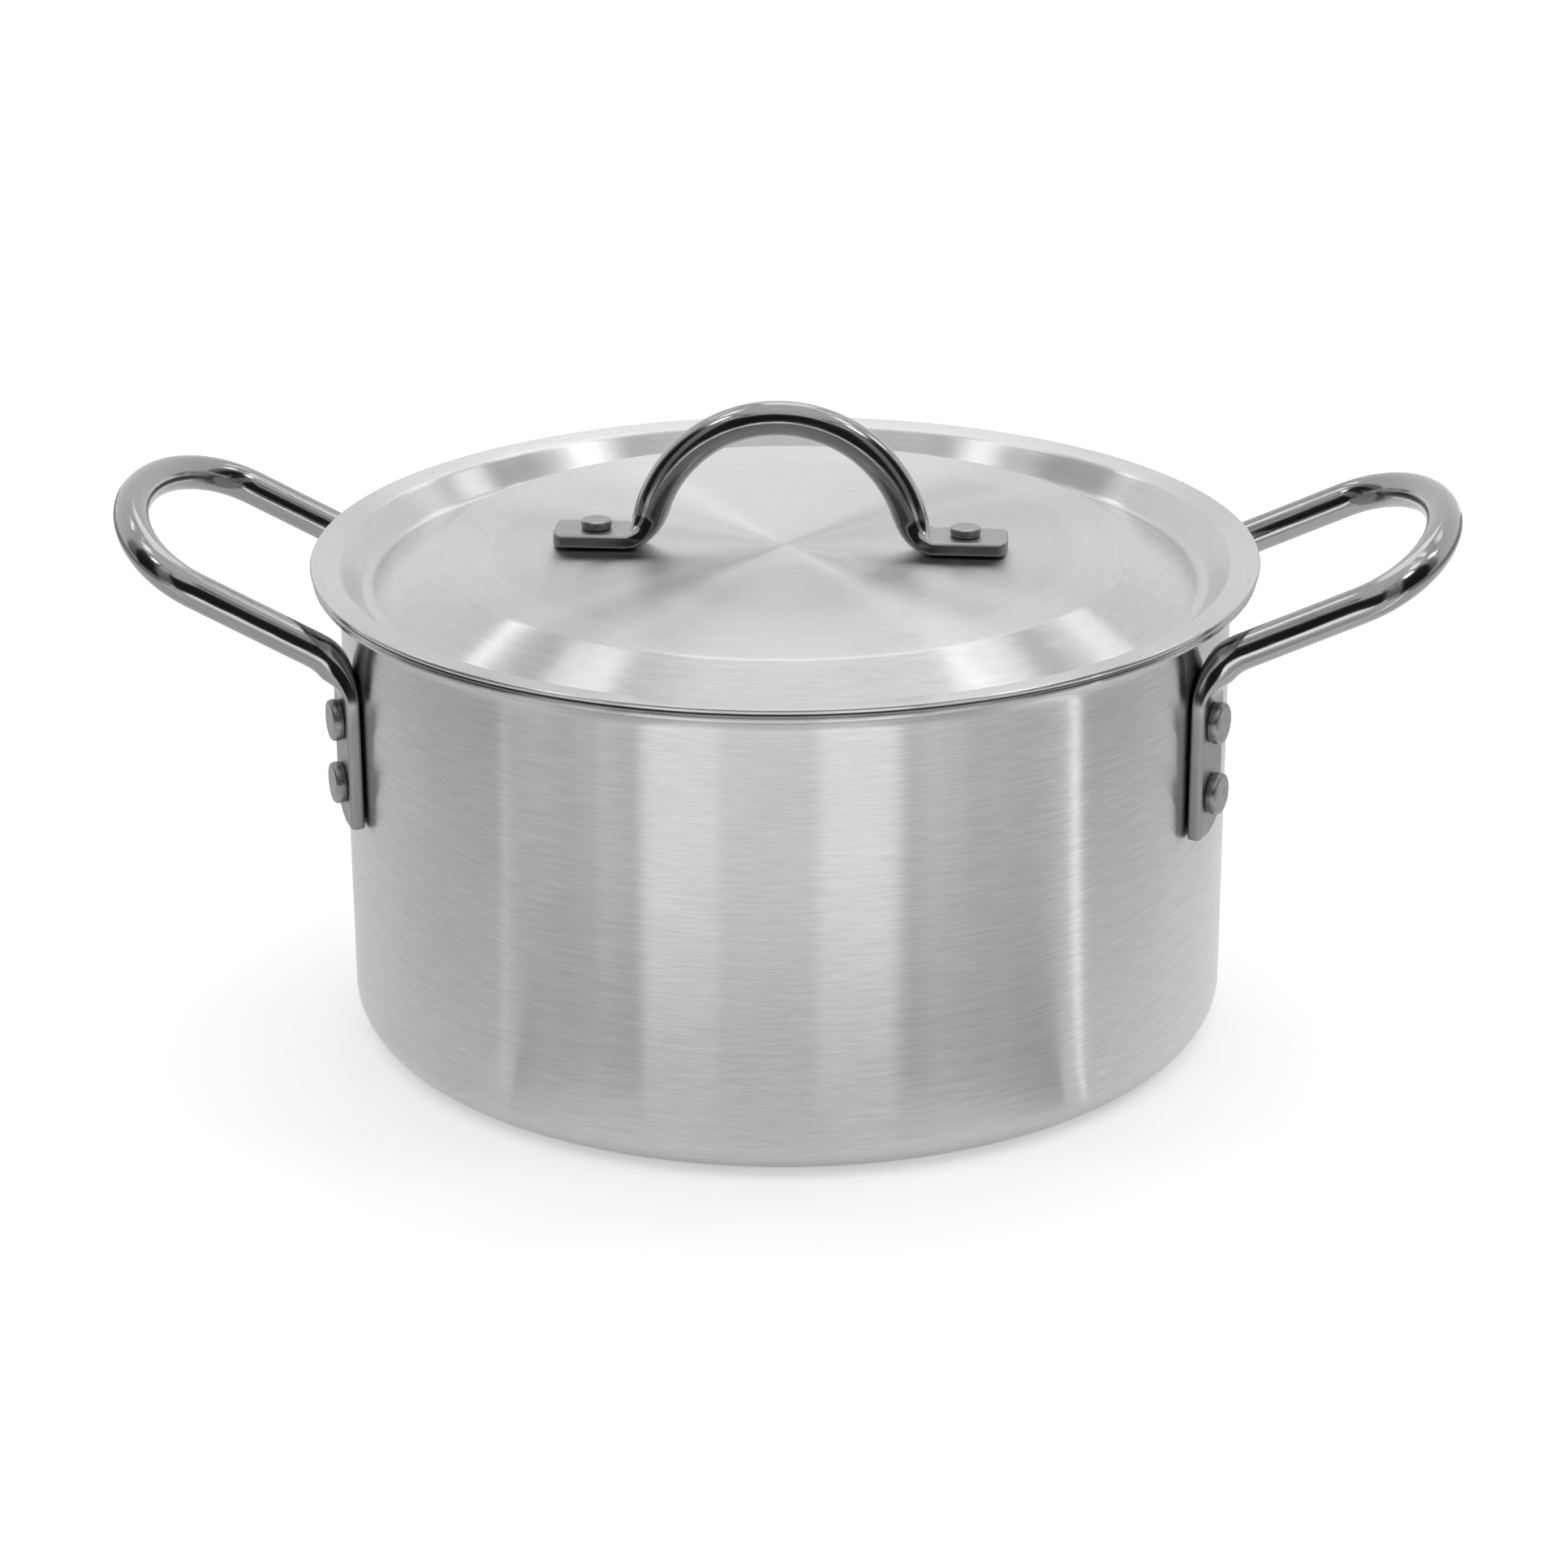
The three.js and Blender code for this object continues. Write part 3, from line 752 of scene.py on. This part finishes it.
def quarter_outline(a, b, square):
    """From (a, 0) to (0, b): a quarter ellipse, or a corner with small edges if square is 1."""
    edge_x = a + (min(a, STRAP_EDGE) - a) * square
    edge_y = b + (min(b, STRAP_EDGE) - b) * square
    turn = np.linspace(0, math.pi / 2, CORNER_STEPS)
    arc = np.stack([a - edge_x + edge_x * np.cos(turn), b - edge_y + edge_y * np.sin(turn)], 1)
    points = np.vstack([[(a, 0)], arc, [(0, b)]])
    length = np.concatenate([[0], np.cumsum(np.linalg.norm(np.diff(points, axis=0), axis=1))])
    bend = np.concatenate([[0], turn, [math.pi / 2]])
    measure = length / length[-1] + bend / (math.pi / 2)
    even = np.linspace(0, 2, QUARTER_STEPS + 1)[:-1]
    return np.stack([np.interp(even, measure, points[:, k]) for k in (0, 1)], 1)


def pressed_outline(radius, press, closed, trim, inset):
    """Ring of (wide, thin) points. press widens it, closed shuts its +thin and -thin faces."""
    flat = STRAP_THICKNESS / 2
    wide = radius + (STRAP_WIDTH / 2 - radius) * press
    half = wide - (trim[0] + trim[1]) / 2 - inset
    middle = (trim[0] - trim[1]) / 2
    ring = []
    for w, t, face in [(1, 1, 0), (-1, 1, 0), (-1, -1, 1), (1, -1, 1)]:
        shut = closed[face]
        depth = radius + (flat - radius) * shut - inset
        if w == t:
            quarter = quarter_outline(half, depth, shut ** 1.5)
        else:
            quarter = quarter_outline(depth, half, shut ** 1.5)[:, ::-1]
        ring.append(quarter * (w, t) + (middle, 0))
    return np.vstack(ring)


# %% Skin along a route
STATION_STEP = 0.0011
END_STEP = 0.0006
END_STRETCH = 0.007
DULL_PRESS = (-0.006, 0.012)
TUBE_SHARP = 50


def smooth_step(x):
    x = np.clip(x, 0, 1)
    return x * x * (3 - 2 * x)


def pressed(distance, flat, length):
    """1 on the flat end of a tube and 0 where the tube is round again."""
    return 1 - smooth_step((distance - flat) / length)


def dullness(along, flat):
    """How far the press tools have dulled the tube at each distance along it."""
    return pressed(np.minimum(along, along[-1] - along), flat + DULL_PRESS[0], DULL_PRESS[1])


def corner_trim(distance, width, height):
    """Width that a rounded corner takes off the strap at a distance from its end."""
    share = max(0.0, 1 - distance / height)
    return width * (1 - math.sqrt(1 - share * share))


def stations(length):
    """Distances along a tube: close together at its two rounded ends, then even."""
    round_off = [END_ROUND * (1 - math.sin(a)) for a in np.linspace(math.pi / 2, 0, 5)]
    near = list(np.arange(END_ROUND, END_STRETCH, END_STEP)[1:])
    half = sorted(round_off + near)
    middle = np.linspace(half[-1], length - half[-1], int(length / STATION_STEP))[1:-1]
    return np.array(half + list(middle) + [length - d for d in reversed(half)])


def end_inset(distance):
    share = max(0.0, 1 - distance / END_ROUND)
    return END_ROUND * (1 - math.sqrt(1 - share * share))


def press_ring(end, flat, radius, widening, closing, trim):
    """The outline at a distance from an end that is flat for a length. widening and closing
    say how far past that length the press begins to let go, and over what length."""
    press, *closed = [pressed(end, flat + start, run) for start, run in (widening, *closing)]
    return pressed_outline(radius, press, closed, trim, end_inset(end))


def tube_mesh(name, rings, along, flatness, material):
    """A closed skin over rings. Its points keep their place on the tube and how far it is
    pressed, for the steel's own pattern."""
    count = len(rings[0])
    points = np.vstack(rings)
    faces = [tuple(range(count))[::-1], tuple(range(len(points) - count, len(points)))]
    for r in range(len(rings) - 1):
        for k in range(count):
            a, b = r * count + k, r * count + (k + 1) % count
            faces.append((a, b, b + count, a + count))
    made = mesh_object(name, points, faces, material)
    place = made.data.attributes.new("tube_place", "FLOAT_VECTOR", "POINT")
    turn = np.linspace(0, 2 * math.pi, count, endpoint=False)
    values = [(math.cos(t), math.sin(t), s) for s in along for t in turn]
    place.data.foreach_set("vector", np.array(values).ravel())
    worn = made.data.attributes.new("flatness", "FLOAT", "POINT")
    worn.data.foreach_set("value", np.repeat(flatness, count))
    return smooth(made, TUBE_SHARP)


def print_room(handle, node):
    """Says how far a handle's skin stays inside its CAD piece's box, on all six sides."""
    low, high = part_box(node)
    points = np.array([v.co for v in handle.data.vertices])
    gaps = [*(points.min(0) - low), *(np.array(high) - points.max(0))]
    room = [round(gap * 1000, 2) for gap in gaps]
    print(node, len(points), "points, inside its CAD box by mm", room)


# %% [markdown]
# ## Polished steel tube
# The handles are drawn steel tube with a worn polish. Drawing leaves fine lines along the
# tube, so the noise is stretched along it: its coordinates are the place round the outline
# and the distance along the route, kept on each point of the skin. The pressed faces are
# duller, because the press tools are not polished.

# %% Steel
DRAWN_STRETCH = (22, 22, 90)
WAVE_STRETCH = (2.2, 2.2, 60)
WAVE_SHARE = 9.0
GRAIN_SCALE = 2600.0
GRAIN_SHARE = 0.35
STEEL_RELIEF = 0.000004
PRESSED_ROUGHNESS = 0.3
LINE_TINT = (0.9, 1.1)
LINE_ROUGHNESS = (-0.03, 0.03)
WAVE_ROUGHNESS = (-0.03, 0.05)


def tube_steel(name, colour, roughness):
    material, tree = new_material(name)
    kept = {"attribute_name": "tube_place"}
    place = add_node(tree, "ShaderNodeAttribute", kept).outputs["Vector"]
    lines = noise_value(tree, vector_calc(tree, "MULTIPLY", place, DRAWN_STRETCH), detail=3.0)
    waves = noise_value(tree, vector_calc(tree, "MULTIPLY", place, WAVE_STRETCH), detail=2.0)
    grain = noise_value(tree, object_place(tree), scale=GRAIN_SCALE, detail=2.0)
    low, high = WAVE_ROUGHNESS
    rough = calc(
        tree, "ADD", spread(tree, lines, *LINE_ROUGHNESS),
        spread(tree, waves, roughness + low, roughness + high),
    )
    worn = {"attribute_name": "flatness"}
    flatness = add_node(tree, "ShaderNodeAttribute", worn).outputs["Fac"]
    rough = calc(tree, "MULTIPLY_ADD", flatness, PRESSED_ROUGHNESS, rough)
    heights = calc(tree, "MULTIPLY_ADD", waves, WAVE_SHARE, lines)
    heights = calc(tree, "MULTIPLY_ADD", grain, GRAIN_SHARE, heights)
    tint = scaled(tree, colour, spread(tree, lines, *LINE_TINT))
    bare_metal(tree, tint, rough, heights, STEEL_RELIEF)
    return material


steel = tube_steel("drawn_steel", (0.34, 0.336, 0.33), roughness=0.13)
print("steel made")

# %% [markdown]
# ## Side handles
# Each side handle starts flat on the wall, bends out and up, runs parallel to its twin leg
# and turns round the end in half an ellipse. The two are bent and riveted on by hand, so
# each has its own turn round the pot, slope, height and rivet pitch, as the frame has them.

# %% Side handle route
SIDE_TUBE = 0.0098
SIDE_HALF_SPACING = 0.0464
SIDE_PROJECTION = 0.0566
SIDE_END_DEPTH = 0.0269
SIDE_BEND_RADIUS = 0.015
SIDE_TWIST_LENGTH = 0.025
SIDE_TWIST_START = 0.012
SIDE_WIDENING = (-0.001, 0.013)
SIDE_CLOSING = ((0.001, 0.0085), (-0.001, 0.0145))
SIDE_CUT_WIDTH = 0.012
SIDE_CUT_HEIGHT = 0.007
SIDE_RIVET_TO_BEND = 0.0061
SIDE_RIVET_EDGE = 0.0115
FINE_ARC = math.radians(1)
LOOP_STEPS = 360
ROUTE_STEP = 0.0004
HEADING_REACH = 0.0012
SIDES = [
    {"name": "right", "turn": -0.65, "slope": 23.8, "drop": 0.0135, "pitch": 0.020},
    {"name": "left", "turn": 180.65, "slope": 27.4, "drop": 0.0175, "pitch": 0.018},
]
strap_radius = wall_radius + SEAT_GAP + STRAP_THICKNESS / 2
strap_angle = math.asin(SIDE_HALF_SPACING / strap_radius)


def side_route(slope, drop, pitch):
    """Fine points of a whole side handle, and the length of each flat end."""
    corner = pot_height - drop
    bend = corner - SIDE_BEND_RADIUS * math.tan((math.pi / 2 - slope) / 2)
    end = bend - SIDE_RIVET_TO_BEND - pitch - SIDE_RIVET_EDGE
    foot = strap_radius * math.cos(strap_angle)
    curve = wall_radius + SIDE_PROJECTION - SIDE_END_DEPTH * math.cos(slope)
    leg = rounded_path([
        (foot, end, 0),
        (foot, corner, SIDE_BEND_RADIUS),
        (curve, corner + (curve - foot) * math.tan(slope), 0),
    ], FINE_ARC)
    leg = np.array([(x, 0, z) for x, z in leg])
    sweep = np.linspace(-math.pi / 2, math.pi / 2, LOOP_STEPS)[1:-1]
    out = SIDE_END_DEPTH * np.cos(sweep)
    loop = np.stack([
        leg[-1][0] + out * math.cos(slope),
        SIDE_HALF_SPACING * np.sin(sweep),
        leg[-1][2] + out * math.sin(slope),
    ], 1)
    near = leg + (0, -SIDE_HALF_SPACING, 0)
    far = leg[::-1] + (0, SIDE_HALF_SPACING, 0)
    return np.vstack([near, loop, far]), bend - end


def follow(route, distances):
    """Places and headings along a route, evenly measured, with its small kinks eased."""
    fine = np.array(divide(list(route), ROUTE_STEP))
    travel = np.concatenate([[0], np.cumsum(np.linalg.norm(np.diff(fine, axis=0), axis=1))])

    def at(d):
        return np.stack([np.interp(d, travel, fine[:, k]) for k in range(3)], 1)

    heading = at(distances + HEADING_REACH) - at(distances - HEADING_REACH)
    return at(distances), heading / np.linalg.norm(heading, axis=1)[:, None]


def route_length(route):
    return float(np.linalg.norm(np.diff(route, axis=0), axis=1).sum())


# %% Side handles
def side_rings(slope, drop, pitch):
    route, flat = side_route(slope, drop, pitch)
    length = route_length(route)
    along = stations(length)
    places, headings = follow(route, along)
    normal = np.array([-math.sin(slope), 0, math.cos(slope)])
    rings = []
    for place, heading, s in zip(places, headings, along):
        end = min(s, length - s)
        leg = math.copysign(1, place[1])
        wall = leg * np.array([math.sin(leg * strap_angle), -math.cos(leg * strap_angle), 0])
        level = np.cross(normal, heading)
        level /= np.linalg.norm(level)
        twist = pressed(end, flat + SIDE_TWIST_START, SIDE_TWIST_LENGTH)
        side = level + (wall - level) * twist
        side -= heading * (side @ heading)
        side /= np.linalg.norm(side)
        trim = (0, corner_trim(end, SIDE_CUT_WIDTH, SIDE_CUT_HEIGHT))
        outline = press_ring(end, flat, SIDE_TUBE / 2, SIDE_WIDENING, SIDE_CLOSING, trim)
        rings.append(place + outline[:, :1] * side + outline[:, 1:] * np.cross(side, heading))
    return rings, along, dullness(along, flat)


def add_side_handle(name, turn, slope, drop, pitch):
    rings, along, flatness = side_rings(math.radians(slope), drop, pitch)
    handle = tube_mesh(name + "_side_tube", rings, along, flatness, steel)
    handle.data.transform(Matrix.Rotation(math.radians(turn), 4, "Z"))
    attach(handle, "pot")
    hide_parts(name + "_handle")
    print_room(handle, name + "_handle")


for side in SIDES:
    add_side_handle(**side)

# %% [markdown]
# ## Lid handle
# The same tube, a little thinner, in one upright arch. Each end sweeps out on a small
# radius into a flat foot that stands on the lid's panel. The press has folded the tube's
# top wall down on to the foot, and that fold is the sharp crease at the root of the arch.

# %% Lid handle
LID_TUBE = 0.0095
LID_ARCH_RADIUS = 0.0368
LID_ARCH_SINK = 0.0026
LID_FOOT_BEND = 0.0068
LID_RIVET_TO_BEND = 0.0082
LID_RIVET_EDGE = 0.0116
LID_CUT_WIDTH = 0.004
LID_CUT_HEIGHT = 0.0025
LID_WIDENING = (-0.001, 0.012)
LID_CLOSING = ((-0.001, 0.0135), (0.0005, 0.0065))
LID_GRIP_SHIFT = (-0.0011, -0.0015, 0)
lid_foot_height = LID_PANEL_RISE + SEAT_GAP + STRAP_THICKNESS / 2
lid_grip_place = lid_place @ Matrix.Translation(LID_GRIP_SHIFT)


def arch_route():
    """Fine points of the lid handle in its own XZ plane, and the length of each foot."""
    rise = LID_ARCH_SINK + LID_FOOT_BEND
    bend_x = math.sqrt((LID_ARCH_RADIUS + LID_FOOT_BEND) ** 2 - rise ** 2)
    lean = math.atan2(rise, bend_x)
    foot = LID_RIVET_TO_BEND + LID_RIVET_EDGE
    bend_centre = np.array([bend_x, lid_foot_height + LID_FOOT_BEND])
    arch_centre = np.array([0, lid_foot_height - LID_ARCH_SINK])
    crown = arc_points(arch_centre, LID_ARCH_RADIUS, math.pi / 2, lean - math.pi / 2, FINE_ARC)
    bend = arc_points(bend_centre, LID_FOOT_BEND, math.pi + lean, math.pi / 2 - lean, FINE_ARC)
    half = np.array(crown + bend[1:] + [(bend_x + foot, lid_foot_height)])
    whole = np.vstack([half[:0:-1] * (-1, 1), half])
    return np.stack([whole[:, 0], np.zeros(len(whole)), whole[:, 1]], 1), foot


def lid_rings():
    route, foot = arch_route()
    length = route_length(route)
    along = stations(length)
    side = np.array([0, 1, 0])
    rings = []
    for place, heading, s in zip(*follow(route, along), along):
        end = min(s, length - s)
        trim = corner_trim(end, LID_CUT_WIDTH, LID_CUT_HEIGHT)
        outline = press_ring(
            end, foot, LID_TUBE / 2, LID_WIDENING, LID_CLOSING, (trim, trim)
        )
        rings.append(place + outline[:, :1] * side + outline[:, 1:] * np.cross(side, heading))
    return rings, along, dullness(along, foot)


def add_lid_handle():
    rings, along, flatness = lid_rings()
    handle = tube_mesh("lid_arch_tube", rings, along, flatness, steel)
    handle.data.transform(lid_grip_place)
    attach(handle, "lid")
    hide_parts("lid_handle")
    print_room(handle, "lid_handle")


add_lid_handle()

# %% [markdown]
# ## Rivets
# Plain rivets of soft metal: the set head has a nearly flat top, a bevel and a side that
# bulges under the hammer. They are duller and darker than the sheets and mottled, as struck
# metal is. Each is a turned shape along the rivet node's own axis: a side rivet points away
# from the pot's axis, and a lid rivet stands square on the lid.

# %% Rivet metal
RIVET_COLOUR = (0.32, 0.32, 0.323)
RIVET_MOTTLE = (0.55, 1.45)
RIVET_ROUGHNESS = (0.3, 0.48)
RIVET_RELIEF = 0.00005
PATCH_SHARE = 2.5


def struck_metal():
    material, tree = new_material("struck_rivet")
    place = object_place(tree)
    patches = noise_value(tree, place, scale=420.0, detail=5.0, rough=0.65)
    pits = noise_value(tree, place, scale=1700.0, detail=3.0, rough=0.6)
    tint = scaled(tree, RIVET_COLOUR, spread(tree, patches, *RIVET_MOTTLE))
    heights = calc(tree, "MULTIPLY_ADD", patches, PATCH_SHARE, pits)
    bare_metal(tree, tint, spread(tree, patches, *RIVET_ROUGHNESS), heights, RIVET_RELIEF)
    return material


rivet_metal = struck_metal()
print("rivet metal made")

# %% Rivet shape
# radius and height of the outer head, radius of the shank, height of the inner head, bevel
SIDE_RIVET = (0.0057, 0.0028, 0.003, 0.0016, 0.0007)
LID_RIVET = (0.0042, 0.0022, 0.0024, 0.0014, 0.0004)
RIVET_TURNS = 72
RIVET_SHARP = 35
BULGE = 0.045
BULGE_TURN = 2.4
TOP_ROUND = (0.25, math.pi / 2 - 0.12)
TOP_INSET = 0.025
DISH_RADIUS = 0.45
DISH_DEPTH = 0.00002
LEAST_HEIGHT = 0.000001
DENT_SCALE = 330
DENT_SPACING = 5000
DENT_DEPTH = 0.00006


def rivet_profile(length, radius, height, shank, inner_height, bevel):
    """From the inner head's face at 0 to the outer head's top at length."""
    seat = length - height
    inner = [
        (radius - bevel * math.cos(a), max(bevel * (1 - math.sin(a)), LEAST_HEIGHT))
        for a in np.linspace(math.pi / 2, 0, 6)
    ]
    rise = [(radius, inner_height), (shank, inner_height), (shank, seat)]
    bulge = [
        (radius * (1 - BULGE + BULGE * math.sin(a)), seat + (height - bevel) * a / BULGE_TURN)
        for a in np.linspace(0, BULGE_TURN, 9)
    ]
    edge = [
        (
            radius - bevel * (1 - math.cos(a)) - TOP_INSET * radius,
            length - bevel * (1 - math.sin(a)),
        )
        for a in np.linspace(*TOP_ROUND, 6)
    ]
    dish = length - DISH_DEPTH
    return [(0, 0)] + inner + rise + bulge + edge + [(radius * DISH_RADIUS, dish), (0, dish)]


def add_rivet(node, body, axis, radius, height, shank, inner_height, bevel):
    corners = np.array([v.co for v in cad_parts[node].data.vertices])
    low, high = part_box(node)
    middle = (low + high) / 2
    reach = (corners - np.array(middle)) @ np.array(axis)
    length = reach.max() - reach.min()
    profile = rivet_profile(length, radius, height, shank, inner_height, bevel)
    name = node.replace("_rivet", "_struck_rivet")
    piece = turned_mesh(name, profile, rivet_metal, RIVET_TURNS)
    for vertex in piece.data.vertices:
        push = noise.noise(vertex.co * DENT_SCALE + middle * DENT_SPACING) * DENT_DEPTH
        vertex.co.xy *= 1 + push / radius
    facing = axis.to_track_quat("Z", "Y").to_matrix().to_4x4()
    piece.matrix_world = Matrix.Translation(middle + axis * float(reach.min())) @ facing
    smooth(piece, RIVET_SHARP)
    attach(piece, body)
    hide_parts(node)


# %% Rivets
def add_rivets():
    nodes = sorted(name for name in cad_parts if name.endswith("_rivet"))
    lid_axis = lid_place.to_3x3() @ Vector((0, 0, 1))
    for node in nodes:
        if node.startswith("lid"):
            add_rivet(node, "lid", lid_axis, *LID_RIVET)
        else:
            low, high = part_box(node)
            outward = Vector((low.x + high.x, low.y + high.y, 0)).normalized()
            add_rivet(node, "pot", outward, *SIDE_RIVET)
    print("rivets", len(nodes))


add_rivets()
